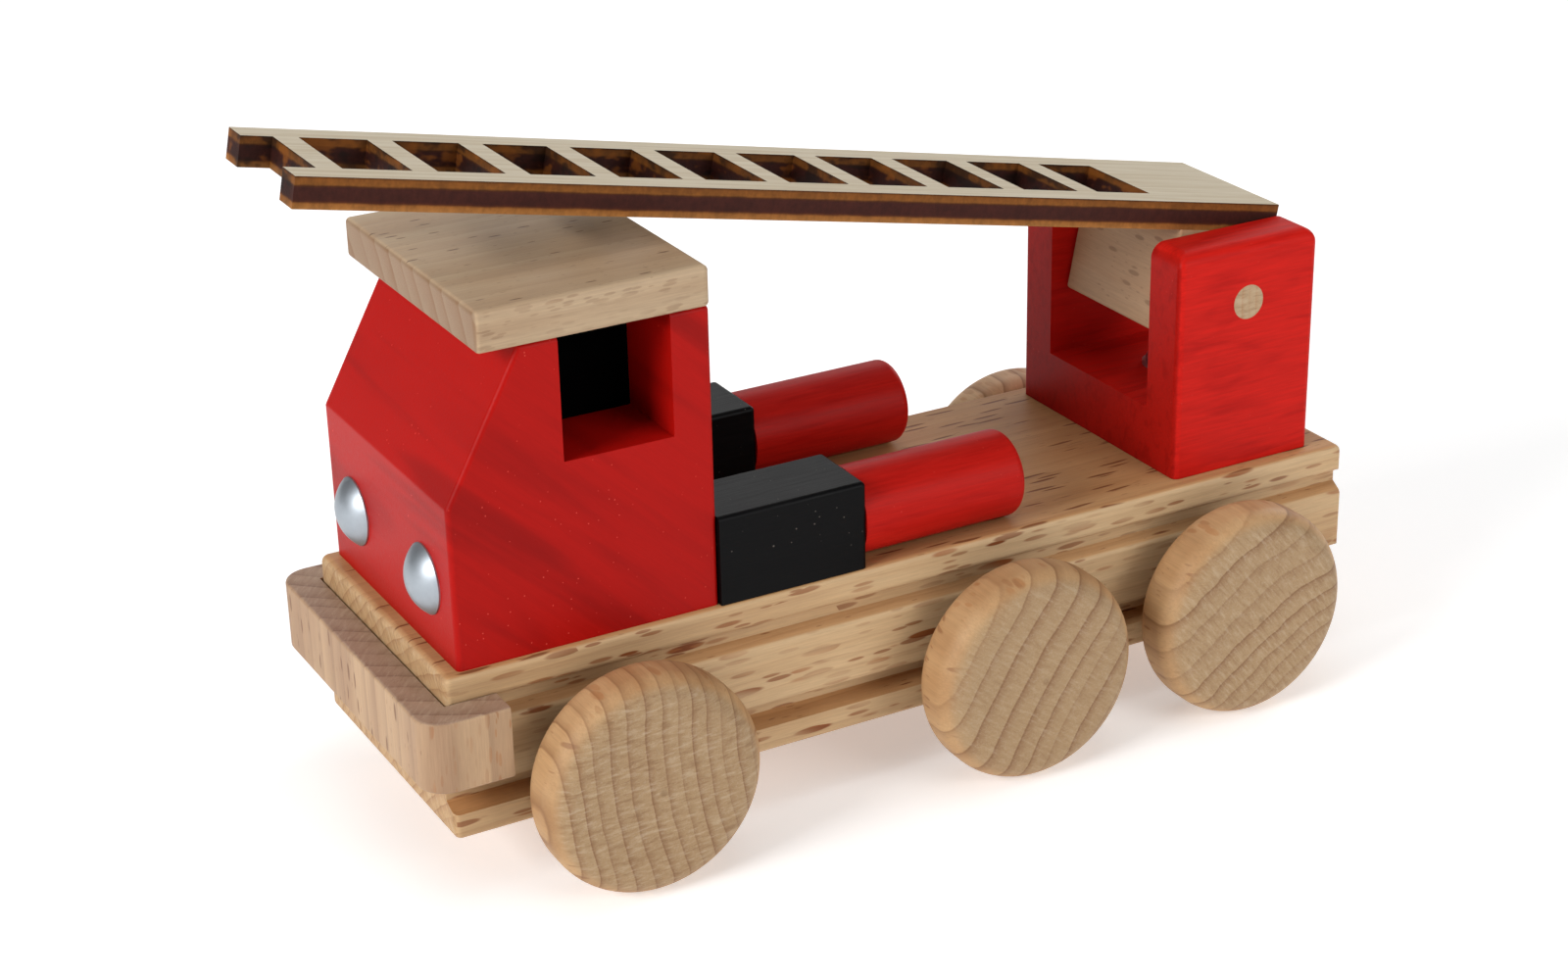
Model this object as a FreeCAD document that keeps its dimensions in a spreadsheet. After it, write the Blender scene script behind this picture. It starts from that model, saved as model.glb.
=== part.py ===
import FreeCAD, Part
import math
import os
import Sketcher
import PartDesign

# Toy fire engine in solid wood.  Millimetres, +X towards the cab, +Y to the
# vehicle's left, +Z up.  The origin lies on the floor, under the middle of the
# whole toy, so the six wheels stand on z = 0.

os.makedirs("parts", exist_ok=True)
doc = FreeCAD.newDocument("ToyFireEngine")

# ---------------------------------------------------------------- sizes
sheet = doc.addObject("Spreadsheet::Sheet", "Sizes")
SIZES = [
    # chassis board: a moulded plank with two grooves along each side
    ("chassis_rear", -98.15), ("chassis_front", 84.45), ("chassis_half", 28.0),
    ("chassis_low", 11.5), ("deck_top", 41.6),
    ("groove_depth", 2.2), ("low_groove_depth", 3.2), ("groove_slope", 0.3),
    ("edge_low", 36.4), ("ridge_top", 32.4), ("ridge_low", 20.8), ("foot_top", 16.6),
    ("wood_round", 0.9), ("chassis_round", 1.4), ("small_round", 0.6), ("edge_round", 1.1), ("upright_round", 1.3),
    # wheels and axles
    ("axle_front_x", 54.2), ("axle_middle_x", -20.75), ("axle_rear_x", -67.7),
    ("wheel_radius", 20.0), ("wheel_thick", 12.5), ("wheel_gap", 4.2), ("wheel_round", 4.8),
    ("wheel_dome", 0.5), ("wheel_flat", 13.0),
    ("axle_radius", 4.0), ("axle_bore", 4.08), ("axle_half", 40.0), ("bore_depth", 8.0),
    # bumper: a block notched round the front end of the chassis
    ("bumper_front", 90.6), ("bumper_back", 75.65), ("bumper_half", 33.8),
    ("bumper_low", 24.0), ("bumper_top", 36.9), ("bumper_corner", 5.0), ("bumper_gap", 0.35),
    # cab
    ("cab_back", 33.6), ("cab_front", 81.5), ("cab_half", 26.7), ("knee_z", 70.1),
    ("cab_top", 95.4), ("screen_top_x", 67.5),
    ("window_back", 40.8), ("window_front", 60.7), ("window_sill", 74.0), ("core_half", 10.3),
    # roof
    ("roof_back", 33.8), ("roof_front", 74.8), ("roof_half", 27.4), ("roof_top", 102.5),
    # headlamps: domed nails
    ("lamp_y", 15.5), ("lamp_z", 54.0), ("lamp_radius", 6.1), ("lamp_height", 3.3), ("lamp_rim", 0.3),
    ("nail_radius", 0.8), ("nail_length", 15.0),
    # equipment blocks and hose rolls behind the cab
    ("block_back", 5.1), ("block_out", 27.5), ("block_in", 12.2), ("block_top", 57.8),
    ("roll_back", -27.7), ("roll_y", 19.8), ("roll_radius", 7.9), ("roll_round", 1.5),
    # turntable bracket
    ("pivot_x", -76.76), ("pivot_z", 73.5), ("bracket_long", 30.6), ("bracket_half", 25.1),
    ("slot_half", 15.9), ("slot_floor", 53.1), ("bracket_top", 84.9), ("bracket_gap", 0.1),
    ("bracket_round", 2.8), ("pin_radius", 3.25), ("pin_bore", 3.30),
    # turntable screw and washer
    ("screw_radius", 2.0), ("screw_bore", 2.08), ("screw_head", 3.4), ("head_height", 2.4),
    ("screw_length", 25.0), ("washer_radius", 4.1), ("washer_thick", 0.8), ("washer_gap", 0.05),
    ("washer_bore", 2.15),
    # ladder and its pivot block, measured from the pin in the ladder's own plane
    ("ladder_pitch", 11.6), ("ladder_rear", 11.0), ("ladder_front", 180.7),
    ("ladder_half", 15.0), ("ladder_thick", 5.2), ("ladder_under", 10.45),
    ("rail_wide", 5.4), ("fork_deep", 5.4), ("rung_wide", 4.3), ("rung_pitch", 16.04),
    ("bay_count", 10), ("pivot_block_low", 9.5), ("pivot_block_front", 10.7),
    ("pivot_block_half", 15.2), ("tip_round", 0.8),
]
V = {}
for i, (name, value) in enumerate(SIZES, 1):
    sheet.set("A%d" % i, name)
    sheet.set("B%d" % i, repr(value))
    sheet.setAlias("B%d" % i, name)
    V[name] = value
doc.recompute()


def val(expr):
    """Value of a size expression, used only to start a sketch near its shape."""
    e = str(expr)
    out, word = [], ""
    toks = []
    for ch in e + " ":
        if ch.isalnum() or ch in "._":
            word += ch
        else:
            if word:
                toks.append(word)
                word = ""
            if ch.strip():
                toks.append(ch)
    # small shunting-yard over + - * / and brackets
    prec = {"+": 1, "-": 1, "*": 2, "/": 2}
    nums, ops = [], []

    def step():
        o = ops.pop()
        b = nums.pop()
        a = nums.pop()
        nums.append(a + b if o == "+" else a - b if o == "-" else a * b if o == "*" else a / b)
    prev = "("
    for t in toks:
        if t in prec:
            if prev in "(+-*/":
                nums.append(0.0)
                ops.append(t)
                prev = t
                continue
            while ops and ops[-1] != "(" and prec[ops[-1]] >= prec[t]:
                step()
            ops.append(t)
        elif t == "(":
            ops.append(t)
        elif t == ")":
            while ops[-1] != "(":
                step()
            ops.pop()
        else:
            nums.append(V[t] if t in V else float(t))
        prev = t
    while ops:
        step()
    return nums[0]


def bound(expr):
    """The same expression with each size looked up in the sheet."""
    out, word = "", ""
    for ch in str(expr) + " ":
        if ch.isalnum() or ch in "._":
            word += ch
        else:
            if word:
                out += ("Sizes." + word) if word in V else word
                word = ""
            out += ch
    return out.strip()


def bind(obj, prop, expr):
    obj.setExpression(prop, bound(expr))


def new_body(label):
    b = doc.addObject("PartDesign::Body", label)
    b.Label = label
    return b


def plane(body, role):
    for f in body.Origin.OriginFeatures:
        if f.Role == role:
            return f
    raise RuntimeError(role)


def new_sketch(body, role, name, offset=("0", "0", "0")):
    s = body.newObject("Sketcher::SketchObject", name)
    s.AttachmentSupport = [(plane(body, role), "")]
    s.MapMode = "FlatFace"
    s.AttachmentOffset = FreeCAD.Placement(FreeCAD.Vector(*[val(o) for o in offset]), FreeCAD.Rotation())
    for ax, o in zip("xyz", offset):
        if o != "0":
            bind(s, "AttachmentOffset.Base." + ax, o)
    return s


def place_point(s, geo, pos, x, y):
    for kind, v, axis in (("DistanceX", x, -2), ("DistanceY", y, -1)):
        if v == "0":
            s.addConstraint(Sketcher.Constraint("PointOnObject", geo, pos, axis))
        else:
            k = s.addConstraint(Sketcher.Constraint(kind, -1, 1, geo, pos, val(v)))
            bind(s, "Constraints[%d]" % k, v)


def polygon(s, pts):
    """Closed outline; each corner is tied to the sheet in both directions."""
    n = len(pts)
    base = s.GeometryCount
    xy = [FreeCAD.Vector(val(x), val(y), 0) for x, y in pts]
    for i in range(n):
        s.addGeometry(Part.LineSegment(xy[i], xy[(i + 1) % n]), False)
    for i in range(n):
        s.addConstraint(Sketcher.Constraint("Coincident", base + i, 2, base + (i + 1) % n, 1))
    for i, (x, y) in enumerate(pts):
        place_point(s, base + i, 1, x, y)


def chain(s, pts, end):
    """Straight edges through pts, an arc centred on the sketch's X axis from the
    last of them to end, and the axis back to the start."""
    base = s.GeometryCount
    xy = [FreeCAD.Vector(val(x), val(y), 0) for x, y in pts]
    a, e = xy[-1], FreeCAD.Vector(val(end[0]), val(end[1]), 0)
    for i in range(len(xy) - 1):
        s.addGeometry(Part.LineSegment(xy[i], xy[i + 1]), False)
    c = (a.x ** 2 + a.y ** 2 - e.x ** 2) / (2 * (a.x - e.x))
    rad = e.x - c
    ang = math.atan2(a.y, a.x - c)
    arc = s.addGeometry(Part.ArcOfCircle(Part.Circle(FreeCAD.Vector(c, 0, 0), FreeCAD.Vector(0, 0, 1), rad), 0.0, ang), False)
    last = s.addGeometry(Part.LineSegment(e, xy[0]), False)
    for i in range(len(xy) - 2):
        s.addConstraint(Sketcher.Constraint("Coincident", base + i, 2, base + i + 1, 1))
    s.addConstraint(Sketcher.Constraint("Coincident", arc - 1, 2, arc, 2))
    s.addConstraint(Sketcher.Constraint("Coincident", arc, 1, last, 1))
    s.addConstraint(Sketcher.Constraint("Coincident", last, 2, base, 1))
    s.addConstraint(Sketcher.Constraint("PointOnObject", arc, 3, -1))
    for i, (x, y) in enumerate(pts[:-1]):
        place_point(s, base + i, 1, x, y)
    place_point(s, arc - 1, 2, *pts[-1])
    place_point(s, last, 1, *end)


def circle(s, x, y, r):
    g = s.addGeometry(Part.Circle(FreeCAD.Vector(val(x), val(y), 0), FreeCAD.Vector(0, 0, 1), val(r)), False)
    place_point(s, g, 3, x, y)
    k = s.addConstraint(Sketcher.Constraint("Radius", g, val(r)))
    bind(s, "Constraints[%d]" % k, r)


def pad(body, s, length, mid=False, reverse=False, name="Pad"):
    p = body.newObject("PartDesign::Pad", body.Label + "_" + name)
    p.Profile = s
    p.Length = val(length)
    bind(p, "Length", length)
    if mid:
        p.Midplane = True
    p.Reversed = reverse
    s.Visibility = False
    doc.recompute()
    return p


def pocket(body, s, length=None, mid=False, reverse=False, name="Pocket"):
    before = body.Shape.Volume
    p = body.newObject("PartDesign::Pocket", body.Label + "_" + name)
    p.Profile = s
    if length is None:
        p.Type = 1          # through all
    else:
        p.Length = val(length)
        bind(p, "Length", length)
    if mid:
        p.Midplane = True
    p.Reversed = reverse
    doc.recompute()
    if not body.Shape.Volume < before - 1e-6:
        raise RuntimeError("nothing cut by " + p.Name)
    return p


def revolve(body, s, axis, name="Revolution"):
    r = body.newObject("PartDesign::Revolution", body.Label + "_" + name)
    r.Profile = s
    r.ReferenceAxis = (s, [axis])
    r.Angle = 360.0
    doc.recompute()
    return r


def soften(body, radius, want, name="Fillet"):
    """Round the edges for which want(edge midpoint, edge) is true."""
    tip = body.Tip
    names = []
    for i, e in enumerate(tip.Shape.Edges, 1):
        m = e.valueAt(0.5 * (e.FirstParameter + e.LastParameter))
        if want(m, e):
            names.append("Edge%d" % i)
    if not names:
        raise RuntimeError("no edges for " + body.Label + name)
    f = body.newObject("PartDesign::Fillet", body.Label + "_" + name)
    f.Base = (tip, names)
    f.Radius = val(radius)
    bind(f, "Radius", radius)
    doc.recompute()
    if body.Shape.isNull() or not body.Shape.isValid() or "Invalid" in f.State:
        raise RuntimeError("rounding failed: " + f.Name)
    return f


def near(a, b, tol=0.02):
    return abs(a - b) < tol


def straight(e, axis):
    if e.Curve.TypeId != "Part::GeomLine":
        return False
    d = e.Curve.Direction
    return abs(abs(getattr(d, axis)) - 1) < 1e-4


parts = []

# ---------------------------------------------------------------- chassis
b = new_body("chassis")
s = new_sketch(b, "YZ_Plane", "chassis_section", ("0", "0", "chassis_rear"))
H = "chassis_half"
right = [
    (H, "chassis_low"), (H, "foot_top - groove_slope"),
    (H + " - low_groove_depth", "foot_top + 1.2"), (H + " - low_groove_depth", "ridge_low - 1.2"),
    (H, "ridge_low + groove_slope"), (H, "ridge_top - groove_slope"),
    (H + " - groove_depth", "ridge_top + 1.2"), (H + " - groove_depth", "edge_low - 0.8"),
    (H, "edge_low + groove_slope"), (H, "deck_top"),
]
left = [("0 - (" + y + ")", z) for y, z in reversed(right)]
polygon(s, right + left)
pad(b, s, "chassis_front - chassis_rear")
s = new_sketch(b, "XZ_Plane", "axle_holes")
for x in ("axle_front_x", "axle_middle_x", "axle_rear_x"):
    circle(s, x, "wheel_radius", "axle_bore")
pocket(b, s, mid=True, name="AxleHoles")
s = new_sketch(b, "XY_Plane", "screw_hole", ("0", "0", "deck_top"))
circle(s, "pivot_x", "0", "screw_radius")
pocket(b, s, "deck_top - (slot_floor + washer_gap + washer_thick - screw_length)", name="ScrewHole")
soften(b, "chassis_round", lambda m, e: (near(m.x, V["chassis_front"]) or near(m.x, V["chassis_rear"]))
       and straight(e, "y") and (near(m.z, V["chassis_low"]) or near(m.z, V["deck_top"])), name="EndEdges")
soften(b, "edge_round", lambda m, e: straight(e, "x") and e.Length > 100 and near(abs(m.y), V["chassis_half"]), name="LongEdges")
parts.append(b)

# ---------------------------------------------------------------- bumper
b = new_body("front_bumper")
s = new_sketch(b, "XY_Plane", "bumper_plan", ("0", "0", "bumper_low"))
polygon(s, [
    ("bumper_back", H), ("chassis_front + bumper_gap", H), ("chassis_front + bumper_gap", "0 - chassis_half"),
    ("bumper_back", "0 - chassis_half"), ("bumper_back", "0 - bumper_half"),
    ("bumper_front", "0 - bumper_half"), ("bumper_front", "bumper_half"), ("bumper_back", "bumper_half")])
pad(b, s, "bumper_top - bumper_low")
soften(b, "bumper_corner", lambda m, e: straight(e, "z") and near(m.x, V["bumper_front"]), name="Corners")
soften(b, "small_round", lambda m, e: m.x > V["bumper_back"] + 0.01
       and (near(m.z, V["bumper_low"]) or near(m.z, V["bumper_top"]))
       and (m.x > V["chassis_front"] + 1 or abs(m.y) > V["chassis_half"] + 1), name="Rims")
parts.append(b)

# ---------------------------------------------------------------- cab
b = new_body("cab")
s = new_sketch(b, "XZ_Plane", "cab_side")
polygon(s, [
    ("cab_back", "deck_top"), ("cab_front", "deck_top"), ("cab_front", "knee_z"),
    ("screen_top_x", "cab_top"), ("window_front", "cab_top"), ("window_front", "window_sill"),
    ("window_back", "window_sill"), ("window_back", "cab_top"), ("cab_back", "cab_top")])
pad(b, s, "2 * cab_half", mid=True)
for side, y in (("Left", "lamp_y"), ("Right", "0 - lamp_y")):
    s = new_sketch(b, "YZ_Plane", "nail_hole_" + side, ("0", "0", "cab_front"))
    circle(s, y, "lamp_z", "nail_radius")
    pocket(b, s, "nail_length", name="NailHole" + side)
soften(b, "wood_round", lambda m, e: (straight(e, "y") and (
    (near(m.x, V["cab_front"]) and near(m.z, V["knee_z"])) or near(m.x, V["cab_back"]) and near(m.z, V["cab_top"])))
    or (near(abs(m.y), V["cab_half"]) and e.Length > 3 and not near(m.z, V["deck_top"])
        and not near(m.z, V["window_sill"])
        and not (near(m.x, V["window_back"]) or near(m.x, V["window_front"])))
    or (near(m.x, V["cab_front"]) and straight(e, "z")), name="OuterEdges")
parts.append(b)

# black core that closes the middle of the window notch
b = new_body("window_core")
s = new_sketch(b, "XZ_Plane", "core_side")
polygon(s, [("window_back", "window_sill"), ("window_front", "window_sill"),
            ("window_front", "cab_top"), ("window_back", "cab_top")])
pad(b, s, "2 * core_half", mid=True)
parts.append(b)

# ---------------------------------------------------------------- roof
b = new_body("roof")
s = new_sketch(b, "XY_Plane", "roof_plan", ("0", "0", "cab_top"))
polygon(s, [("roof_back", "0 - roof_half"), ("roof_front", "0 - roof_half"),
            ("roof_front", "roof_half"), ("roof_back", "roof_half")])
pad(b, s, "roof_top - cab_top")
soften(b, "wood_round", lambda m, e: True, name="AllEdges")
parts.append(b)

# ---------------------------------------------------------------- headlamps
for label, sign in (("headlight_left", ""), ("headlight_right", "0 - ")):
    b = new_body(label)
    # section in the plane through the nail's axis; the axis runs along X
    s = new_sketch(b, "XY_Plane", label + "_section",
                   ("cab_front", sign + "lamp_y", "lamp_z"))
    # pointed shank, flat back, then a dome struck from a centre on the axis
    chain(s, [("0 - nail_length + 0.4", "0"), ("0 - nail_length + 2.4", "nail_radius"), ("0", "nail_radius"),
              ("0", "lamp_radius"), ("lamp_rim", "lamp_radius")], ("lamp_height", "0"))
    revolve(b, s, "H_Axis")
    parts.append(b)

# ---------------------------------------------------------------- blocks and rolls
for side, sg in (("left", ""), ("right", "0 - ")):
    b = new_body("equipment_block_" + side)
    s = new_sketch(b, "XY_Plane", "block_plan_" + side, ("0", "0", "deck_top"))
    polygon(s, [("block_back", sg + "block_in"), ("cab_back", sg + "block_in"),
                ("cab_back", sg + "block_out"), ("block_back", sg + "block_out")])
    pad(b, s, "block_top - deck_top")
    soften(b, "wood_round", lambda m, e: not near(m.z, V["deck_top"]) and not near(m.x, V["cab_back"]), name="Edges")
    parts.append(b)
    b = new_body("hose_roll_" + side)
    s = new_sketch(b, "YZ_Plane", "roll_section_" + side, ("0", "0", "roll_back"))
    circle(s, sg + "roll_y", "deck_top + roll_radius", "roll_radius")
    pad(b, s, "block_back - roll_back")
    soften(b, "roll_round", lambda m, e: near(m.x, V["roll_back"]), name="End")
    parts.append(b)

# ---------------------------------------------------------------- turntable bracket
b = new_body("turret_bracket")
s = new_sketch(b, "YZ_Plane", "bracket_section", ("0", "0", "pivot_x"))
bz = "deck_top + bracket_gap"
polygon(s, [("0 - bracket_half", bz), ("bracket_half", bz), ("bracket_half", "bracket_top"),
            ("slot_half", "bracket_top"), ("slot_half", "slot_floor"), ("0 - slot_half", "slot_floor"),
            ("0 - slot_half", "bracket_top"), ("0 - bracket_half", "bracket_top")])
pad(b, s, "bracket_long", mid=True)
s = new_sketch(b, "XZ_Plane", "pin_hole")
circle(s, "pivot_x", "pivot_z", "pin_radius")
pocket(b, s, mid=True, name="PinHole")
s = new_sketch(b, "XY_Plane", "screw_clearance", ("0", "0", "slot_floor + 1"))
circle(s, "pivot_x", "0", "screw_bore")
pocket(b, s, "slot_floor + 1", name="ScrewHole")
soften(b, "bracket_round", lambda m, e: near(m.z, V["bracket_top"]) and near(abs(m.y), V["bracket_half"])
       or (near(m.z, V["bracket_top"]) and straight(e, "y")), name="TopEdges")
soften(b, "upright_round", lambda m, e: straight(e, "z") and near(abs(m.y), V["bracket_half"]), name="UprightEdges")
parts.append(b)

# ---------------------------------------------------------------- screw and washer
b = new_body("turret_screw")
s = new_sketch(b, "XZ_Plane", "screw_section", ("pivot_x", "slot_floor + washer_gap + washer_thick", "0"))
polygon(s, [("0", "0 - screw_length"), ("0.35 * screw_radius", "0 - screw_length + 0.6"),
            ("screw_radius", "0 - screw_length + 4.5"), ("screw_radius", "0"), ("screw_head", "0"),
            ("screw_head", "0.35 * head_height"), ("0.86 * screw_head", "0.72 * head_height"),
            ("0.55 * screw_head", "0.94 * head_height"), ("0", "head_height")])
revolve(b, s, "V_Axis")
s = new_sketch(b, "XY_Plane", "cross_recess", ("pivot_x", "0", "slot_floor + washer_gap + washer_thick + head_height + 0.5"))
a, c = "0.55 * screw_head", "0.11 * screw_head"
na, nc = "0 - 0.55 * screw_head", "0 - 0.11 * screw_head"
polygon(s, [(a, nc), (a, c), (c, c), (c, a), (nc, a), (nc, c), (na, c), (na, nc), (nc, nc), (nc, na), (c, na), (c, nc)])
pocket(b, s, "0.5 + 0.6 * head_height", name="CrossRecess")
parts.append(b)

b = new_body("turret_washer")
s = new_sketch(b, "XY_Plane", "washer_plan", ("0", "0", "slot_floor + washer_gap"))
circle(s, "pivot_x", "0", "washer_radius")
circle(s, "pivot_x", "0", "washer_bore")
pad(b, s, "washer_thick")
parts.append(b)

# pin through both cheeks
pin = doc.addObject("Part::Cylinder", "pivot_pin")
pin.Label = "pivot_pin"
bind(pin, "Radius", "pin_radius")
bind(pin, "Height", "2 * bracket_half")
pin.Placement = FreeCAD.Placement(FreeCAD.Vector(0, 0, 0), FreeCAD.Rotation(FreeCAD.Vector(1, 0, 0), 90))
bind(pin, "Placement.Base.x", "pivot_x")
bind(pin, "Placement.Base.y", "bracket_half")
bind(pin, "Placement.Base.z", "pivot_z")
parts.append(pin)

# ---------------------------------------------------------------- ladder and pivot block
# Drawn flat with the pin's axis at the origin, then turned up by the pitch.
def tilt(body):
    body.Placement = FreeCAD.Placement(FreeCAD.Vector(V["pivot_x"], 0, V["pivot_z"]),
                                       FreeCAD.Rotation(FreeCAD.Vector(0, -1, 0), V["ladder_pitch"]))
    bind(body, "Placement.Base.x", "pivot_x")
    bind(body, "Placement.Base.z", "pivot_z")
    bind(body, "Placement.Rotation.Angle", "ladder_pitch")
    doc.recompute()


b = new_body("ladder")
s = new_sketch(b, "XY_Plane", "ladder_plan", ("0", "0", "ladder_under"))
inner = "ladder_half - rail_wide"
polygon(s, [("0 - ladder_rear", "0 - ladder_half"), ("ladder_front", "0 - ladder_half"),
            ("ladder_front", "0 - (" + inner + ")"), ("ladder_front - fork_deep", "0 - (" + inner + ")"),
            ("ladder_front - fork_deep", inner), ("ladder_front", inner),
            ("ladder_front", "ladder_half"), ("0 - ladder_rear", "ladder_half")])
pad(b, s, "ladder_thick")
s = new_sketch(b, "XY_Plane", "bay_plan", ("0", "0", "ladder_under + ladder_thick"))
f = "ladder_front - fork_deep - rung_wide"
r = "ladder_front - fork_deep - rung_pitch"
polygon(s, [(r, "0 - (" + inner + ")"), (f, "0 - (" + inner + ")"), (f, inner), (r, inner)])
p = pocket(b, s, "ladder_thick", name="Bay")
one = V["rung_pitch"] - V["rung_wide"]
lp = b.newObject("PartDesign::LinearPattern", "ladder_Bays")
lp.Originals = [p]
lp.Direction = (s, ["H_Axis"])
lp.Reversed = True
lp.Occurrences = V["bay_count"]
lp.setExpression("Occurrences", "Sizes.bay_count")
bind(lp, "Length", "rung_pitch * (bay_count - 1)")
b.Tip = lp
doc.recompute()
want = (V["ladder_half"] * 2 * (V["ladder_front"] + V["ladder_rear"])
        - 2 * (V["ladder_half"] - V["rail_wide"]) * (V["fork_deep"] + one * V["bay_count"])) * V["ladder_thick"]
if abs(b.Shape.Volume - want) > 1.0:
    raise RuntimeError("ladder bays %r %r" % (b.Shape.Volume, want))
tilt(b)
parts.append(b)

b = new_body("pivot_block")
s = new_sketch(b, "XZ_Plane", "pivot_block_side")
polygon(s, [("0 - ladder_rear", "0 - pivot_block_low"), ("pivot_block_front", "0 - pivot_block_low"),
            ("pivot_block_front", "ladder_under"), ("0 - ladder_rear", "ladder_under")])
pad(b, s, "2 * pivot_block_half", mid=True)
s = new_sketch(b, "XZ_Plane", "pivot_bore")
circle(s, "0", "0", "pin_bore")
pocket(b, s, mid=True, name="PinBore")
soften(b, "small_round", lambda m, e: e.Length > 15 and m.z < V["ladder_under"] - 0.1, name="Edges")
tilt(b)
parts.append(b)

# ---------------------------------------------------------------- axles and wheels
for pos in ("front", "middle", "rear"):
    ax = doc.addObject("Part::Cylinder", "axle_" + pos)
    ax.Label = "axle_" + pos
    bind(ax, "Radius", "axle_radius")
    bind(ax, "Height", "2 * axle_half")
    ax.Placement = FreeCAD.Placement(FreeCAD.Vector(0, 0, 0), FreeCAD.Rotation(FreeCAD.Vector(1, 0, 0), 90))
    bind(ax, "Placement.Base.x", "axle_%s_x" % pos)
    bind(ax, "Placement.Base.y", "axle_half")
    bind(ax, "Placement.Base.z", "wheel_radius")
    parts.append(ax)
    for side, sg in (("left", "1"), ("right", "-1")):
        b = new_body("wheel_%s_%s" % (pos, side))
        s = new_sketch(b, "XY_Plane", b.Label + "_section", ("axle_%s_x" % pos, "0", "wheel_radius"))
        k = "" if side == "left" else "0 - "
        yi = k + "(chassis_half + wheel_gap)"
        yo = k + "(chassis_half + wheel_gap + wheel_thick - wheel_dome)"
        yc = k + "(chassis_half + wheel_gap + wheel_thick)"
        yb = k + "(chassis_half + wheel_gap + bore_depth)"
        ym = k + "(chassis_half + wheel_gap + wheel_thick - 0.12 * wheel_dome)"
        polygon(s, [("axle_radius", yi), ("wheel_radius", yi), ("wheel_radius", yo),
                    ("wheel_flat", ym), ("0.45 * wheel_flat", yc), ("0", yc), ("0", yb), ("axle_radius", yb)])
        revolve(b, s, "V_Axis")
        soften(b, "wheel_round", lambda m, e: e.Curve.TypeId == "Part::GeomCircle"
               and near(e.Curve.Radius, V["wheel_radius"]), name="Rim")
        parts.append(b)

# ---------------------------------------------------------------- check and write
doc.recompute()
bad = []
for o in doc.Objects:
    if "Invalid" in o.State or "Error" in o.State:
        bad.append((o.Name, list(o.State)))
for p in parts:
    if p.Shape.isNull() or not p.Shape.isValid() or len(p.Shape.Solids) != 1:
        bad.append((p.Label, "shape"))
if bad:
    raise RuntimeError("failed: %r" % bad)

box = FreeCAD.BoundBox()
for p in parts:
    sh = p.Shape
    box.add(sh.BoundBox)
    sh.exportStep("parts/%s.step" % p.Label)
    print("%-24s %9.1f mm3" % (p.Label, sh.Volume))
print(len(parts), "parts;", box)
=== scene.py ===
import bpy
import math
from mathutils import Matrix, Vector


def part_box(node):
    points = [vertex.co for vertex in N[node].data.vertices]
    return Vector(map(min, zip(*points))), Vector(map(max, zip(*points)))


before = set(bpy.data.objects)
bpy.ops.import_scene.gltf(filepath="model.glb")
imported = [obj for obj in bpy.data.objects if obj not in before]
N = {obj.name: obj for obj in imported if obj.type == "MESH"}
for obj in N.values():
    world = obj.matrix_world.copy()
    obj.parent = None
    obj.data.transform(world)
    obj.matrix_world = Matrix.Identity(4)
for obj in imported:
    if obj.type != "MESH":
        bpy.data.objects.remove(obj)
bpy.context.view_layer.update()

MM = 0.001


# ------------------------------------------------------------------ camera
def make_camera():
    az, el, roll = math.radians(151.5075), math.radians(24.0580), math.radians(-1.3221)
    back = Vector((math.sin(az) * math.cos(el), -math.cos(az) * math.cos(el), math.sin(el)))
    right = Vector((math.cos(az), math.sin(az), 0.0))
    up = back.cross(right)
    r = right * math.cos(roll) + up * math.sin(roll)
    u = up * math.cos(roll) - right * math.sin(roll)
    data = bpy.data.cameras.new("camera")
    cam = bpy.data.objects.new("camera", data)
    bpy.context.scene.collection.objects.link(cam)
    m = Matrix((r, u, back)).transposed().to_4x4()
    m.translation = Vector((236.41, 424.04, 261.55)) * MM
    cam.matrix_world = m
    data.sensor_width = 36.0
    data.lens = 67.59
    data.clip_start = 0.01
    data.clip_end = 30.0
    bpy.context.scene.camera = cam


make_camera()


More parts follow.
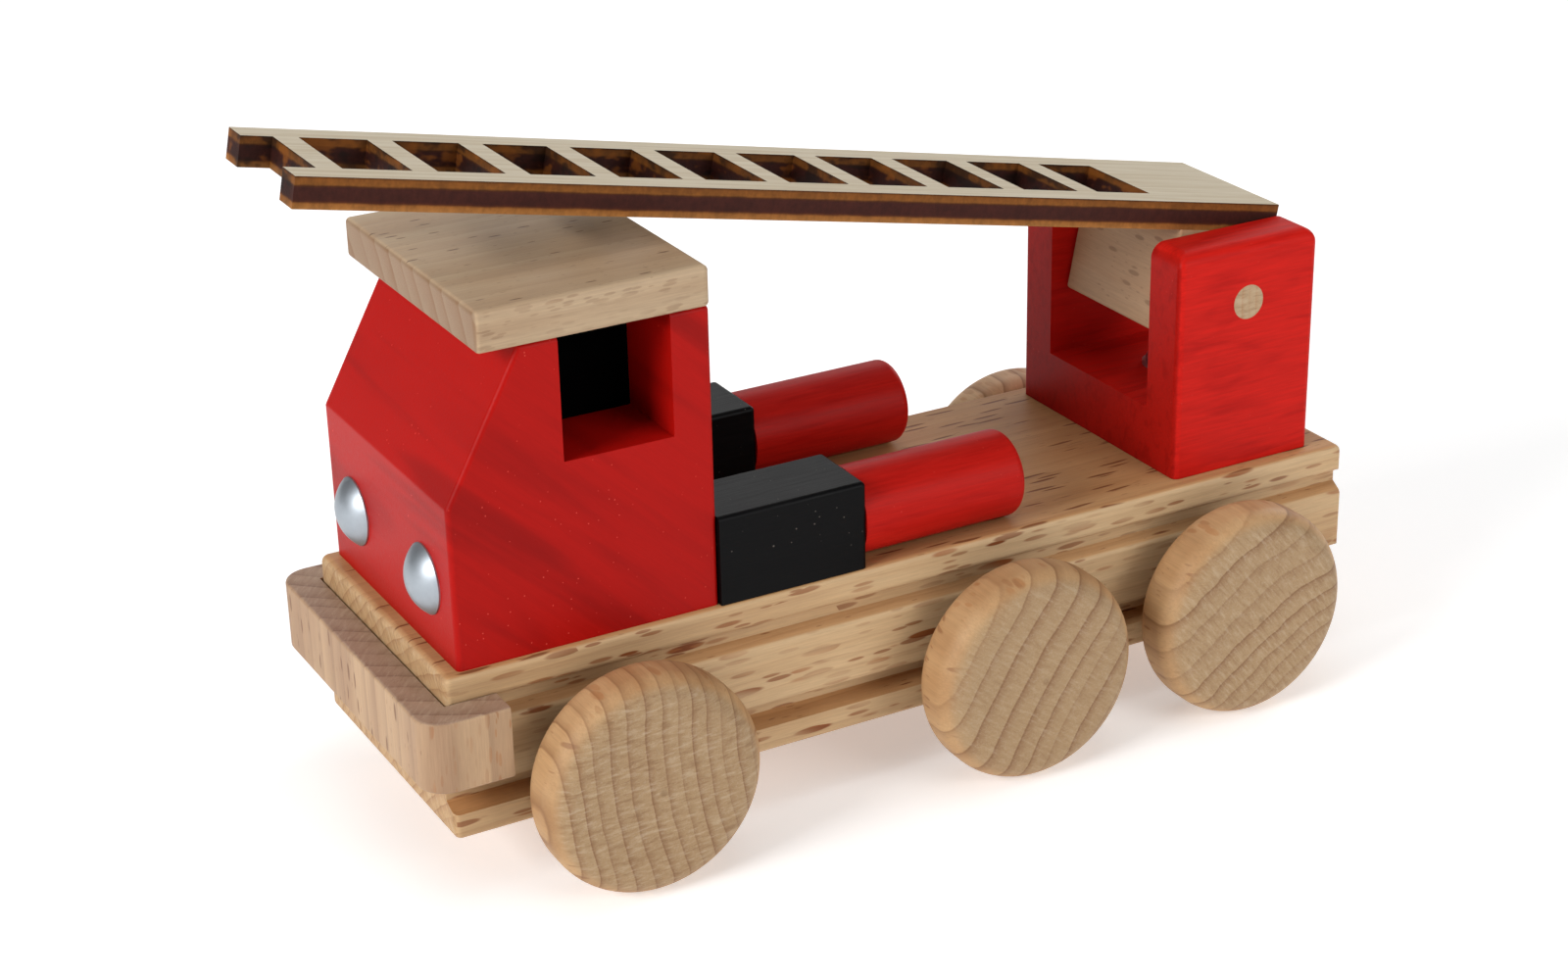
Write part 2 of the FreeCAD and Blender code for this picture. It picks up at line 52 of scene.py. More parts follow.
# ------------------------------------------------------------------ node helpers
class Graph:
    """Short forms for building a material's node tree."""

    def __init__(self, name):
        self.mat = bpy.data.materials.new(name)
        self.mat.use_nodes = True
        self.t = self.mat.node_tree
        self.t.nodes.clear()
        self.out = self.t.nodes.new("ShaderNodeOutputMaterial")
        self.bsdf = self.t.nodes.new("ShaderNodeBsdfPrincipled")
        self.t.links.new(self.bsdf.outputs[0], self.out.inputs[0])
        self.tc = self.t.nodes.new("ShaderNodeTexCoord")

    def put(self, sock, v):
        if isinstance(v, bpy.types.NodeSocket):
            self.t.links.new(v, sock)
        elif isinstance(v, (tuple, list, Vector)):
            n = len(sock.default_value)
            v = list(v)
            sock.default_value = (v + [1.0])[:n] if len(v) < n else v[:n]
        else:
            sock.default_value = v

    def math(self, op, a, b=0.0, c=None, clamp=False):
        n = self.t.nodes.new("ShaderNodeMath")
        n.operation = op
        n.use_clamp = clamp
        self.put(n.inputs[0], a)
        self.put(n.inputs[1], b)
        if c is not None:
            self.put(n.inputs[2], c)
        return n.outputs[0]

    def vmath(self, op, a, b=(0, 0, 0)):
        n = self.t.nodes.new("ShaderNodeVectorMath")
        n.operation = op
        self.put(n.inputs[0], a)
        if op == "SCALE":
            self.put(n.inputs["Scale"], b)
        else:
            self.put(n.inputs[1], b)
        return n.outputs["Value"] if op in ("DOT_PRODUCT", "LENGTH") else n.outputs["Vector"]

    def sep(self, v):
        n = self.t.nodes.new("ShaderNodeSeparateXYZ")
        self.put(n.inputs[0], v)
        return n.outputs

    def comb(self, x, y, z):
        n = self.t.nodes.new("ShaderNodeCombineXYZ")
        for i, v in enumerate((x, y, z)):
            self.put(n.inputs[i], v)
        return n.outputs[0]

    def noise(self, vec, scale=1.0, detail=2.0, rough=0.5, distort=0.0, color=False):
        n = self.t.nodes.new("ShaderNodeTexNoise")
        self.put(n.inputs["Vector"], vec)
        n.inputs["Scale"].default_value = scale
        n.inputs["Detail"].default_value = detail
        n.inputs["Roughness"].default_value = rough
        n.inputs["Distortion"].default_value = distort
        return n.outputs["Color"] if color else n.outputs[0]

    def voronoi(self, vec, scale=1.0, feature="F1", random=1.0):
        n = self.t.nodes.new("ShaderNodeTexVoronoi")
        n.feature = feature
        self.put(n.inputs["Vector"], vec)
        n.inputs["Scale"].default_value = scale
        n.inputs["Randomness"].default_value = random
        return n

    def ramp(self, fac, stops, ease="LINEAR"):
        n = self.t.nodes.new("ShaderNodeValToRGB")
        n.color_ramp.interpolation = ease
        el = n.color_ramp.elements
        while len(el) < len(stops):
            el.new(0.5)
        for e, (p, c) in zip(el, stops):
            e.position = p
            e.color = (c, c, c, 1.0) if isinstance(c, (int, float)) else (*c, 1.0)
        self.put(n.inputs[0], fac)
        return n.outputs[0]

    def smooth(self, v, lo, hi):
        n = self.t.nodes.new("ShaderNodeMapRange")
        n.interpolation_type = "SMOOTHSTEP"
        self.put(n.inputs[0], v)
        self.put(n.inputs[1], lo)
        self.put(n.inputs[2], hi)
        n.inputs[3].default_value = 0.0
        n.inputs[4].default_value = 1.0
        return n.outputs[0]

    def mix(self, fac, a, b, blend="MIX"):
        n = self.t.nodes.new("ShaderNodeMix")
        n.data_type = "RGBA"
        n.blend_type = blend
        n.clamp_factor = True
        self.put(n.inputs[0], fac)
        self.put(n.inputs[6], a)
        self.put(n.inputs[7], b)
        return n.outputs[2]

    def bump(self, height, strength, dist=0.0002, normal=None):
        n = self.t.nodes.new("ShaderNodeBump")
        n.inputs["Strength"].default_value = strength
        n.inputs["Distance"].default_value = dist
        self.put(n.inputs["Height"], height)
        if normal is not None:
            self.put(n.inputs["Normal"], normal)
        return n.outputs[0]


def srgb(r, g, b):
    def f(c):
        c /= 255.0
        return c / 12.92 if c <= 0.04045 else ((c + 0.055) / 1.055) ** 2.4
    return (f(r), f(g), f(b))


def node_mid(node):
    lo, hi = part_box(node)
    return (lo + hi) * 500.0


def wood_space(g, along, radial, seed, mid=(0, 0, 0)):
    """Millimetre coordinates (along the grain, radial, tangential), the same
    three for the surface normal, and a scattered offset for this piece."""
    a = Vector(along).normalized()
    r = Vector(radial).normalized()
    t = a.cross(r).normalized()
    p = g.vmath("SCALE", g.tc.outputs["Object"], 1000.0)
    nrm = g.tc.outputs["Normal"]
    P = [g.vmath("DOT_PRODUCT", p, tuple(v)) for v in (a, r, t)]
    Q = [g.math("ABSOLUTE", g.vmath("DOT_PRODUCT", nrm, tuple(v))) for v in (a, r, t)]
    # the offset keeps each piece's figure its own; local is measured from the piece's middle
    local = [g.math("SUBTRACT", c, Vector(mid).dot(v)) for c, v in zip(P, (a, r, t))]
    off = (37.1 * seed, 11.7 * seed, 23.9 * seed)
    P = [g.math("ADD", c, o) for c, o in zip(P, off)]
    return P, Q, local


def stretched(g, P, sizes):
    """Coordinates in which a blob of unit size is sizes millimetres long."""
    return g.comb(*[g.math("MULTIPLY", c, 1.0 / s) for c, s in zip(P, sizes)])


def spindles(g, P, sizes, radius, keep, soft=0.35):
    """Scattered spindle shapes: ellipsoids in stretched cells, some left out."""
    v = g.voronoi(stretched(g, P, sizes), 1.0)
    d = v.outputs["Distance"]
    pick = g.sep(v.outputs["Color"])
    size = g.math("MULTIPLY_ADD", pick[1], 0.8 * radius, 0.5 * radius)
    edge = g.math("SUBTRACT", 1.0, g.math("DIVIDE", d, size))
    m = g.smooth(edge, 0.0, soft)
    gate = g.math("LESS_THAN", pick[0], keep)
    return g.math("MULTIPLY", m, gate), pick[2]


def rings(g, P, local, turn, pith, spacing, wobble, line=0.2):
    """Growth rings round a pith that lies off the piece, along the grain.
    turn is the angle in degrees from the radial axis to the way the rings face."""
    warp = g.noise(stretched(g, P, (60.0, 14.0, 14.0)), 1.0, 2.0, 0.55)
    fine = g.noise(stretched(g, P, (30.0, 2.2, 2.2)), 1.0, 2.0, 0.5)
    ca, sa = math.cos(math.radians(turn)), math.sin(math.radians(turn))
    r = g.math("ADD", g.math("ADD", g.math("MULTIPLY", local[1], ca), g.math("MULTIPLY", local[2], sa)), pith[0])
    t = g.math("ADD", g.math("ADD", g.math("MULTIPLY", local[2], ca), g.math("MULTIPLY", local[1], -sa)), pith[1])
    dist = g.math("SQRT", g.math("ADD", g.math("MULTIPLY", r, r), g.math("MULTIPLY", t, t)))
    dist = g.math("ADD", dist, g.math("MULTIPLY", g.math("SUBTRACT", warp, 0.5), wobble))
    dist = g.math("ADD", dist, g.math("MULTIPLY", g.math("SUBTRACT", fine, 0.5), 0.18 * wobble))
    # years differ in width, and each line differs in strength
    wide = g.noise(g.comb(g.math("MULTIPLY", dist, 0.09), 7.3, 1.1), 1.0, 1.0, 0.5)
    dist = g.math("ADD", dist, g.math("MULTIPLY", g.math("SUBTRACT", wide, 0.5), 1.1 * spacing))
    q = g.math("DIVIDE", dist, spacing)
    f = g.math("FRACT", q)
    strength = g.noise(g.comb(g.math("FLOOR", q), 3.3, 8.1), 1.7, 0.0, 0.5)
    band = g.ramp(f, [(0.0, 0.10), (0.04, 0.0), (1.0 - 3.2 * line, 0.10), (1.0 - line, 0.55), (0.955, 1.0), (1.0, 0.35)])
    return g.math("MULTIPLY", band, g.math("MULTIPLY_ADD", g.smooth(strength, 0.25, 0.6), 0.55, 0.45)), r


def beech(name, along, radial, seed=0.0, light=(214, 180, 138), dark=(190, 150, 108), ring=(170, 122, 82),
          pith=(70.0, 12.0), spacing=3.6, wobble=3.0, ring_face=0.25, ring_end=0.5, line=0.16,
          dashes=0.55, dash_color=(128, 82, 52), flecks=0.6, fleck_color=(168, 108, 60),
          end_tint=(190, 152, 116), end_amount=0.5, pink=0.0, rough=0.52, fleck_keep=0.8, dash_keep=0.62,
          dash_size=(7.5, 9.0, 1.7), fleck_size=(4.2, 2.0, 2.2), tilt=0.0, fuzz=0.0, node=None, turn=0.0,
          top_face_painted_shade=None, mark=0.0, grit=0.0):
    g = Graph(name)
    P, Q, local = wood_space(g, along, radial, seed, node_mid(node) if node else (0, 0, 0))
    end = g.smooth(Q[0], 0.55, 0.9)
    side = g.smooth(Q[2], 0.55, 0.85)
    # slow change of tone along a board, and fibre streaks
    slow = g.noise(stretched(g, P, (80.0, 9.0, 9.0)), 1.0, 3.0, 0.55)
    fibre = g.noise(stretched(g, P, (9.0, 0.35, 0.35)), 1.0, 3.0, 0.6)
    fine = g.noise(stretched(g, P, (2.5, 0.14, 0.14)), 1.0, 2.0, 0.6)
    base = g.mix(g.smooth(slow, 0.30, 0.70), srgb(*light), srgb(*dark))
    tone = g.math("ADD", g.math("MULTIPLY", g.math("SUBTRACT", fibre, 0.5), 0.40),
                  g.math("MULTIPLY", g.math("SUBTRACT", fine, 0.5), 0.22))
    col = g.mix(1.0, base, g.comb(*[g.math("ADD", 1.0, tone)] * 3), "MULTIPLY")
    # growth rings: faint on long grain, clear on end grain
    rg, dist = rings(g, P, local, turn, pith, spacing, wobble, line)
    amount = g.math("ADD", g.math("MULTIPLY", end, ring_end - ring_face), ring_face)
    col = g.mix(g.math("MULTIPLY", rg, amount), col, srgb(*ring))
    # rays: thin dark dashes where the saw ran along the rings, wide flecks where it ran across them
    wav = g.noise(stretched(g, P, (9.0, 5.0, 5.0)), 1.0, 1.0, 0.5)
    Pw = [g.math("ADD", P[0], g.math("MULTIPLY", P[1], tilt)), P[1],
          g.math("ADD", P[2], g.math("MULTIPLY", g.math("SUBTRACT", wav, 0.5), 0.8))]
    dm, dr = spindles(g, Pw, dash_size, 0.26, dash_keep)
    dm2, _ = spindles(g, [g.math("ADD", c, 41.3) for c in Pw], [0.45 * s for s in dash_size], 0.22, 0.55)
    dash = g.math("MAXIMUM", dm, g.math("MULTIPLY", dm2, 0.6))
    nonside = g.math("MULTIPLY", g.math("SUBTRACT", 1.0, side), g.math("SUBTRACT", 1.0, g.math("MULTIPLY", end, 0.75)))
    dfac = g.math("MULTIPLY", g.math("MULTIPLY", dash, nonside), dashes)
    col = g.mix(dfac, col, srgb(*dash_color))
    fm, fr = spindles(g, [g.math("ADD", P[0], g.math("MULTIPLY", P[1], tilt + 0.9)), P[1], P[2]], fleck_size, 0.40, fleck_keep, 0.3)
    fm2, _ = spindles(g, [g.math("ADD", g.math("ADD", P[0], g.math("MULTIPLY", P[1], tilt + 0.7)), 17.7), P[1], P[2]],
                      [1.7 * s for s in fleck_size], 0.30, 0.62, 0.3)
    patch = g.smooth(g.noise(stretched(g, P, (22.0, 6.0, 6.0)), 1.0, 1.0, 0.5), 0.40, 0.62)
    fleck = g.math("MAXIMUM", g.math("MULTIPLY", fm, 0.75), fm2)
    ffac = g.math("MULTIPLY", g.math("MULTIPLY", g.math("MULTIPLY", fleck, side), g.math("MULTIPLY_ADD", patch, 0.75, 0.25)), flecks)
    ffac = g.math("MULTIPLY", ffac, g.math("SUBTRACT", 1.0, end))
    col = g.mix(ffac, col, g.mix(fr, srgb(*fleck_color), srgb(fleck_color[0] - 30, fleck_color[1] - 25, fleck_color[2] - 15)))
    # end grain: darker, fine rays across the rings, pores
    rays = g.noise(stretched(g, P, (6.0, 3.2, 0.16)), 1.0, 3.0, 0.6)
    pore = g.noise(stretched(g, P, (3.0, 0.22, 0.22)), 1.0, 2.0, 0.7)
    ecol = g.mix(1.0, srgb(*end_tint), g.comb(*[g.math("ADD", 1.0, g.math("ADD",
                 g.math("MULTIPLY", g.math("SUBTRACT", rays, 0.5), 0.30), g.math("MULTIPLY", g.math("SUBTRACT", pore, 0.5), 0.45)))] * 3), "MULTIPLY")
    ecol = g.mix(g.math("MULTIPLY", rg, ring_end), ecol, srgb(*ring))
    if fuzz:
        fz = g.smooth(g.noise(stretched(g, P, (1.2, 0.55, 0.45)), 1.0, 3.0, 0.75), 0.50, 0.66)
        ecol = g.mix(g.math("MULTIPLY", fz, fuzz), ecol, srgb(196, 178, 154))
    if grit:
        # fine rows of light and dark cells across the rings
        ca, sa = math.cos(math.radians(turn)), math.sin(math.radians(turn))
        rr = g.math("ADD", g.math("MULTIPLY", local[1], ca), g.math("MULTIPLY", local[2], sa))
        tt = g.math("SUBTRACT", g.math("MULTIPLY", local[2], ca), g.math("MULTIPLY", local[1], sa))
        hatch = g.noise(g.comb(g.math("MULTIPLY", P[0], 0.3), g.math("MULTIPLY", rr, 0.28), g.math("MULTIPLY", tt, 1.5)), 1.0, 3.0, 0.65)
        ecol = g.mix(g.math("MULTIPLY", g.smooth(hatch, 0.50, 0.72), grit), ecol, srgb(122, 88, 60))
        ecol = g.mix(g.math("MULTIPLY", g.smooth(hatch, 0.50, 0.30), 0.7 * grit), ecol, srgb(200, 182, 156))
    col = g.mix(g.math("MULTIPLY", end, end_amount), col, ecol)
    # painted shade: faces square to the radial axis (tops and bottoms) are made darker and browner by a colour
    # multiply
    if top_face_painted_shade:
        top = g.smooth(Q[1], 0.6, 0.9)
        col = g.mix(g.math("MULTIPLY", top, 1.0), col, g.mix(1.0, col, top_face_painted_shade, "MULTIPLY"))
    if mark:
        # small dent where the lathe's centre held the piece
        d = g.math("SQRT", g.math("ADD", g.math("MULTIPLY", local[1], local[1]), g.math("MULTIPLY", local[2], local[2])))
        dot = g.math("MULTIPLY", g.math("SUBTRACT", 1.0, g.smooth(d, 0.35, 0.9)), end)
        col = g.mix(g.math("MULTIPLY", dot, mark), col, srgb(110, 78, 50))
    g.put(g.bsdf.inputs["Base Color"], col)
    g.put(g.bsdf.inputs["Roughness"], g.math("ADD", rough, g.math("MULTIPLY", g.math("SUBTRACT", fibre, 0.5), 0.18)))
    h = g.math("SUBTRACT", g.math("ADD", g.math("MULTIPLY", fibre, 0.5), g.math("MULTIPLY", fine, 0.35)), g.math("MULTIPLY", dfac, 1.2))
    h = g.math("ADD", h, g.math("MULTIPLY", g.math("MULTIPLY", pore, end), 0.8))
    g.put(g.bsdf.inputs["Normal"], g.bump(h, 0.35, 0.00012))
    g.bsdf.inputs["Specular IOR Level"].default_value = 0.22
    return g.mat


def stained(name, along, radial, seed=0.0, tone=(168, 12, 9), deep=(128, 8, 7), pale=(206, 70, 60),
            streak=0.35, streak_size=(40.0, 5.0, 7.0), speck=0.5, rough=0.42, bump=0.25, spec=0.2, fibre_amp=0.34,
            end_grain_painted_shade=0.0):
    """Stain that lets the grain through: streaks and tiny pale nicks."""
    g = Graph(name)
    P, Q, local = wood_space(g, along, radial, seed)
    slow = g.noise(stretched(g, P, streak_size), 1.0, 2.0, 0.5, 0.6)
    fibre = g.noise(stretched(g, P, (10.0, 0.5, 0.5)), 1.0, 3.0, 0.6)
    fine = g.noise(stretched(g, P, (2.4, 0.16, 0.16)), 1.0, 2.0, 0.6)
    col = g.mix(g.math("MULTIPLY", g.smooth(slow, 0.45, 0.75), streak), srgb(*tone), srgb(*deep))
    t = g.math("ADD", 1.0, g.math("ADD", g.math("MULTIPLY", g.math("SUBTRACT", fibre, 0.5), fibre_amp),
                                  g.math("MULTIPLY", g.math("SUBTRACT", fine, 0.5), 0.16)))
    col = g.mix(1.0, col, g.comb(t, t, t), "MULTIPLY")
    if end_grain_painted_shade:
        # painted shade: the end-grain faces are darkened by a colour multiply
        end_shade_factor = g.math("SUBTRACT", 1.0, g.math("MULTIPLY", g.smooth(Q[0], 0.6, 0.9), end_grain_painted_shade))
        col = g.mix(1.0, col, g.comb(end_shade_factor, end_shade_factor, end_shade_factor), "MULTIPLY")
    # tiny nicks and dust, gathered in patches
    v = g.voronoi(g.comb(*[g.math("MULTIPLY", c, 1.0 / 1.15) for c in P]), 1.0)
    pick = g.sep(v.outputs["Color"])
    nick = g.math("MULTIPLY", g.math("LESS_THAN", v.outputs["Distance"], g.math("MULTIPLY", pick[1], 0.16)),
                  g.math("LESS_THAN", pick[0], 0.45))
    where = g.smooth(g.noise(stretched(g, P, (16.0, 16.0, 16.0)), 1.0, 2.0, 0.6), 0.42, 0.60)
    nick = g.math("MULTIPLY", g.math("MULTIPLY", nick, where), speck)
    col = g.mix(nick, col, srgb(*pale))
    g.put(g.bsdf.inputs["Base Color"], col)
    g.put(g.bsdf.inputs["Roughness"], g.math("ADD", rough, g.math("MULTIPLY", g.math("SUBTRACT", fibre, 0.5), 0.2)))
    h = g.math("ADD", g.math("MULTIPLY", fibre, 0.6), g.math("MULTIPLY", fine, 0.4))
    g.put(g.bsdf.inputs["Normal"], g.bump(h, bump, 0.00012))
    g.bsdf.inputs["Specular IOR Level"].default_value = spec
    return g.mat


def use(node, mat):
    o = N[node]
    o.data.materials.clear()
    o.data.materials.append(mat)


# ------------------------------------------------------------------ materials
X, Y, Z = (1, 0, 0), (0, 1, 0), (0, 0, 1)
# the chassis's top and bottom faces are darkened and browned as painted shade
use("chassis", beech("chassis_beech", X, Z, 1.0, light=(204, 174, 134), dark=(190, 155, 114), ring=(152, 106, 68), tilt=-0.5, node="chassis",
                     dashes=0.8, dash_color=(116, 66, 38), dash_keep=0.85, dash_size=(12.0, 9.0, 1.25), flecks=1.0, fleck_color=(152, 90, 46),
                     fleck_size=(7.4, 1.25, 1.8), top_face_painted_shade=(0.86, 0.69, 0.54), ring_end=0.8, spacing=2.4, turn=35, end_amount=0.9,
                     end_tint=(186, 150, 108), grit=0.6))
use("front_bumper", beech("bumper_beech", Z, X, 2.0, light=(185, 153, 120), dark=(165, 132, 103), ring=(122, 90, 72), node="front_bumper",
                          turn=48, pith=(160, 20), wobble=1.2, end_tint=(162, 133, 111), end_amount=0.95, spacing=4.0, ring_end=0.7, ring_face=0.35,
                          dash_color=(112, 72, 46), dashes=0.7, fleck_size=(4.0, 0.8, 1.4), flecks=0.8, grit=0.35))
use("roof", beech("roof_beech", X, Z, 3.0, light=(186, 162, 132), dark=(174, 146, 116), ring=(132, 98, 70), end_tint=(142, 117, 94), node="roof",
                  turn=-58, pith=(150, 0), spacing=5.0, ring_end=1.0, ring_face=0.22, end_amount=0.9, wobble=1.2, line=0.26,
                  flecks=0.45, fleck_size=(3.0, 0.7, 1.5), fleck_color=(130, 92, 62), dashes=0.75, dash_keep=0.55,
                  dash_size=(7.0, 9.0, 1.5), dash_color=(96, 66, 44)))
use("pivot_block", beech("pivot_block_beech", Y, X, 4.0, light=(184, 154, 122), dark=(172, 140, 108), node="pivot_block", dashes=0.45, dash_size=(6.5, 9, 1.8),
                         dash_color=(104, 72, 50), ring_face=0.15))
use("pivot_pin", beech("pin_beech", Y, X, 5.0, light=(178, 150, 118), dark=(170, 140, 108), node="pivot_pin", end_tint=(178, 152, 120), end_amount=0.9,
                       grit=0.5, spacing=1.6, ring_end=0.7, wobble=0.6, pith=(40, 0)))
for i, p in enumerate(("front", "middle", "rear")):
    use("axle_" + p, beech("axle_%s_beech" % p, Y, X, 6.0 + i, light=(184, 152, 116), dark=(170, 138, 102), node="axle_" + p))
# radial axis is X and tangential axis is -Z; turn swings the rings to face (cos, -sin) of it
WHEELS = {
    "front_left": (3.0, 2.9, (90, 6), 0.55, 1.4), "middle_left": (-36.0, 4.3, (90, 4), 0.30, 1.8), "rear_left": (-52.0, 4.1, (60, -8), 0.45, 3.0),
    "front_right": (40.0, 3.4, (60, 0), 0.5, 2.5), "middle_right": (75.0, 3.8, (80, 5), 0.5, 2.5), "rear_right": (-20.0, 3.4, (60, 5), 0.4, 3.0),
}
# right-hand wheels get a paler base colour as painted light, the light they catch from behind
for i, (w, (turn, spacing, pith, grit, wobble)) in enumerate(WHEELS.items()):
    far_side_painted_light = w.endswith("right")
    use("wheel_" + w, beech("wheel_%s_beech" % w, Y, X, 10.0 + i, light=(208, 176, 138) if far_side_painted_light else (192, 155, 112),
                            dark=(194, 156, 116) if far_side_painted_light else (176, 136, 94), node="wheel_" + w, turn=turn,
                            ring=(124, 84, 54), spacing=spacing, pith=pith, ring_face=0.7, ring_end=0.85, line=0.14, wobble=wobble,
                            end_tint=(163, 136, 102), end_amount=0.85, fuzz=0.2, grit=grit, mark=0.35))
use("cab", stained("cab_red", (1, 0, 0.95), Y, 20.0, streak=0.62, streak_size=(60.0, 80.0, 6.0), speck=1.0, spec=0.10,
                   tone=(171, 15, 9), deep=(126, 8, 6), fibre_amp=0.20))
# the turret bracket's end-grain faces (its front) are darkened as painted shade
for i, n in enumerate(("turret_bracket", "hose_roll_left", "hose_roll_right")):
    use(n, stained(n + "_red", X, Z, 21.0 + i, tone=(196, 27, 19) if n == "turret_bracket" else (178, 24, 17), deep=(158, 12, 9), streak=0.55,
                   streak_size=(14.0, 3.0, 1.6), speck=0.35, spec=0.07, fibre_amp=0.55, end_grain_painted_shade=0.32 if n == "turret_bracket" else 0.0))
BLACK = dict(tone=(8, 8, 9), deep=(4, 4, 5), pale=(92, 86, 80), speck=1.0, rough=0.42, spec=0.085, fibre_amp=1.1)
for i, n in enumerate(("equipment_block_left", "equipment_block_right")):
    use(n, stained(n + "_black", X, Z, 30.0 + i, **BLACK))
# the window core is near-black and fully matte with no sheen, darker than the equipment blocks
use("window_core", stained("window_core_black", X, Z, 33.0, tone=(4, 4, 4), deep=(2, 2, 2), pale=(6, 6, 6), rough=0.9, spec=0.0))


def plywood():
    """Three plies, seen in the ladder's own tilted frame: pale faces, laser-burnt edges, painted shade on the walls
    within the openings.
    """
    g = Graph("ladder_plywood")
    pitch = math.radians(11.6)
    fwd = (math.cos(pitch), 0, math.sin(pitch))
    nrm = (-math.sin(pitch), 0, math.cos(pitch))
    p = g.vmath("SCALE", g.vmath("SUBTRACT", g.tc.outputs["Object"], (-0.07676, 0, 0.0735)), 1000.0)
    u, v, n = (g.vmath("DOT_PRODUCT", p, a) for a in (fwd, Y, nrm))
    flat = g.smooth(g.math("ABSOLUTE", g.vmath("DOT_PRODUCT", g.tc.outputs["Normal"], nrm)), 0.6, 0.85)
    P = [u, v, n]
    grain = g.noise(stretched(g, P, (26.0, 1.1, 1.1)), 1.0, 3.0, 0.55)
    fine = g.noise(stretched(g, P, (4.0, 0.25, 0.25)), 1.0, 2.0, 0.6)
    top = g.mix(g.smooth(grain, 0.3, 0.75), srgb(209, 197, 174), srgb(195, 178, 149))
    k = g.math("ADD", 1.0, g.math("MULTIPLY", g.math("SUBTRACT", fine, 0.5), 0.12))
    top = g.mix(1.0, top, g.comb(k, k, k), "MULTIPLY")
    # height through the sheet, 0 at the underside and 1 at the top
    wob = g.noise(stretched(g, P, (5.0, 5.0, 1.5)), 1.0, 2.0, 0.6)
    hgt = g.math("DIVIDE", g.math("SUBTRACT", n, 10.45), 5.2)
    hh = g.math("ADD", hgt, g.math("MULTIPLY", g.math("SUBTRACT", wob, 0.5), 0.07))
    ply = g.ramp(hh, [(0.0, srgb(158, 106, 54)), (0.17, srgb(142, 88, 38)), (0.24, srgb(74, 34, 16)), (0.30, srgb(60, 25, 17)),
                      (0.66, srgb(62, 26, 19)), (0.71, srgb(72, 36, 14)), (0.77, srgb(126, 76, 28)), (0.93, srgb(120, 70, 25)),
                      (1.0, srgb(66, 36, 14))])
    burn = g.noise(stretched(g, P, (1.1, 1.1, 1.6)), 1.0, 3.0, 0.7)
    burn_and_shade_k = g.math("MULTIPLY_ADD", g.smooth(burn, 0.25, 0.75), 0.40, 0.78)
    # painted shade: the walls within the openings are darkened to 58%
    opening_scorch_and_shade = g.math("SUBTRACT", 1.0, g.smooth(g.math("ABSOLUTE", v), 13.0, 14.6))
    burn_and_shade_k = g.math("MULTIPLY", burn_and_shade_k, g.math("SUBTRACT", 1.0, g.math("MULTIPLY", opening_scorch_and_shade, 0.42)))
    ply = g.mix(1.0, ply, g.comb(burn_and_shade_k, burn_and_shade_k, burn_and_shade_k), "MULTIPLY")
    # scorch: soft dark blots, much stronger within the openings as painted shade, with amber between them there
    blot = g.noise(stretched(g, P, (5.5, 5.5, 3.2)), 1.0, 2.0, 0.6)
    ply = g.mix(g.math("MULTIPLY", g.smooth(blot, 0.50, 0.62), g.math("MULTIPLY_ADD", opening_scorch_and_shade, 0.60, 0.12)), ply, srgb(22, 11, 7))
    ply = g.mix(g.math("MULTIPLY", g.math("MULTIPLY", g.smooth(blot, 0.46, 0.34), opening_scorch_and_shade), 0.55), ply, srgb(128, 72, 22))
    col = g.mix(flat, ply, top)
    g.put(g.bsdf.inputs["Base Color"], col)
    g.put(g.bsdf.inputs["Roughness"], g.math("MULTIPLY_ADD", flat, -0.08, 0.62))
    g.put(g.bsdf.inputs["Normal"], g.bump(g.math("ADD", g.math("MULTIPLY", grain, 0.5), fine), 0.3, 0.0001))
    g.bsdf.inputs["Specular IOR Level"].default_value = 0.14
    return g.mat


use("ladder", plywood())


def metal(name, color, rough, seed):
    g = Graph(name)
    p = g.vmath("SCALE", g.tc.outputs["Object"], 1000.0)
    p = g.vmath("ADD", p, (seed, seed, seed))
    n1 = g.noise(p, 0.9, 3.0, 0.6)
    n2 = g.noise(p, 6.0, 2.0, 0.6)
    k = g.math("MULTIPLY_ADD", n1, 0.16, 0.92)
    g.put(g.bsdf.inputs["Base Color"], g.mix(1.0, srgb(*color), g.comb(k, k, k), "MULTIPLY"))
    g.bsdf.inputs["Metallic"].default_value = 1.0
    g.put(g.bsdf.inputs["Roughness"], g.math("MULTIPLY_ADD", n2, 0.12, rough - 0.06))
    g.put(g.bsdf.inputs["Normal"], g.bump(n1, 0.08, 0.0001))
    return g.mat


use("headlight_left", metal("nail_left_metal", (172, 179, 186), 0.46, 3.0))
use("headlight_right", metal("nail_right_metal", (172, 179, 186), 0.46, 9.0))
use("turret_screw", metal("screw_metal", (176, 172, 184), 0.35, 5.0))
use("turret_washer", metal("washer_metal", (176, 174, 180), 0.4, 7.0))


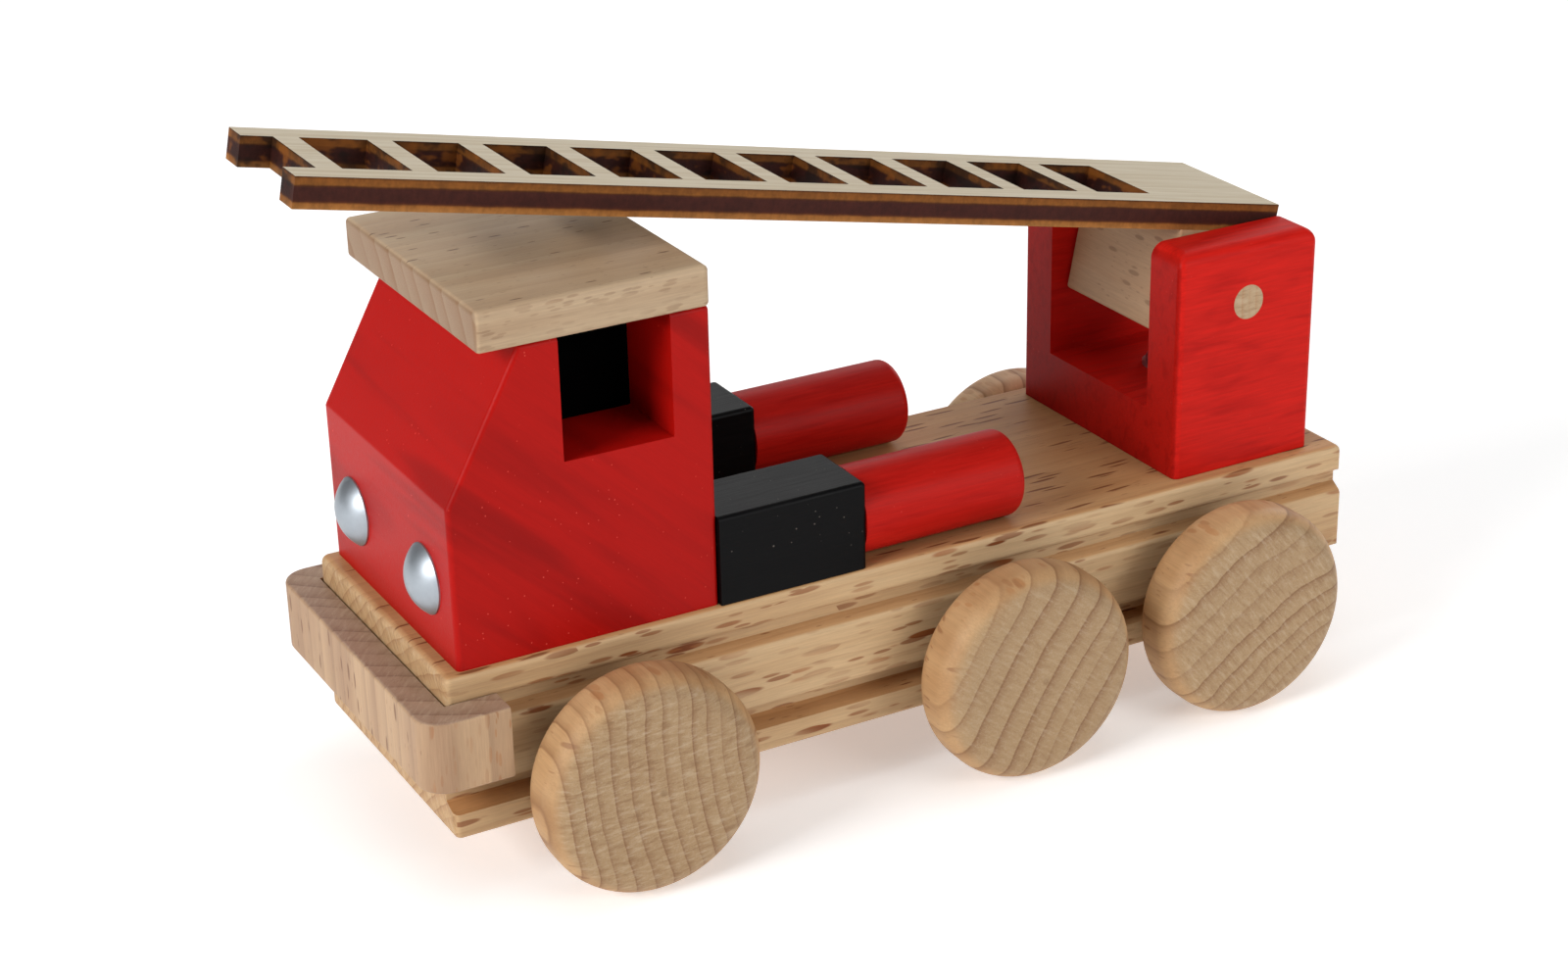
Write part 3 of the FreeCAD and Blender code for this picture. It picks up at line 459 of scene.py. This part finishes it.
# ------------------------------------------------------------------ stage
def floor():
    me = bpy.data.meshes.new("floor")
    s = 4.0
    me.from_pydata([(-s, -s, 0), (s, -s, 0), (s, s, 0), (-s, s, 0)], [], [(0, 1, 2, 3)])
    o = bpy.data.objects.new("floor", me)
    bpy.context.scene.collection.objects.link(o)
    g = Graph("floor_paper")
    n = g.noise(g.tc.outputs["Object"], 3.0, 2.0, 0.5)
    k = g.math("MULTIPLY_ADD", n, 0.01, 0.915)
    g.put(g.bsdf.inputs["Base Color"], g.comb(k, k, k))
    g.bsdf.inputs["Roughness"].default_value = 0.9
    g.bsdf.inputs["Specular IOR Level"].default_value = 0.0
    g.bsdf.inputs["Emission Color"].default_value = (1.0, 1.0, 1.0, 1.0)
    g.bsdf.inputs["Emission Strength"].default_value = 0.35
    me.materials.append(g.mat)


floor()


def light(name, pos, target, size, power, color=(1, 1, 1)):
    d = bpy.data.lights.new(name, "AREA")
    d.shape = "RECTANGLE"
    d.size, d.size_y = size
    d.energy = power
    d.color = color
    o = bpy.data.objects.new(name, d)
    bpy.context.scene.collection.objects.link(o)
    o.location = pos
    o.rotation_euler = (Vector(target) - Vector(pos)).to_track_quat("-Z", "Y").to_euler()


light("key_front", (1.25, 0.25, 0.66), (0, 0, 0.05), (0.6, 0.6), 14.6)
light("key_side", (-0.55, 1.10, 0.55), (0, 0, 0.05), (0.8, 0.6), 6.9)
light("back", (-0.35, -1.25, 0.70), (0, 0, 0.05), (1.4, 0.8), 5.0)
light("kick", (-1.15, -0.55, 0.60), (0, 0, 0.05), (0.6, 0.6), 5.0)
light("top", (0.1, 0.1, 1.3), (0, 0, 0), (0.9, 0.9), 3.0)
w = bpy.data.worlds.new("world")
bpy.context.scene.world = w
w.use_nodes = True
w.node_tree.nodes["Background"].inputs[0].default_value = (1.0, 1.0, 1.0, 1.0)
w.node_tree.nodes["Background"].inputs[1].default_value = 0.12
bpy.context.scene.view_settings.view_transform = "Standard"
bpy.context.scene.view_settings.look = "None"
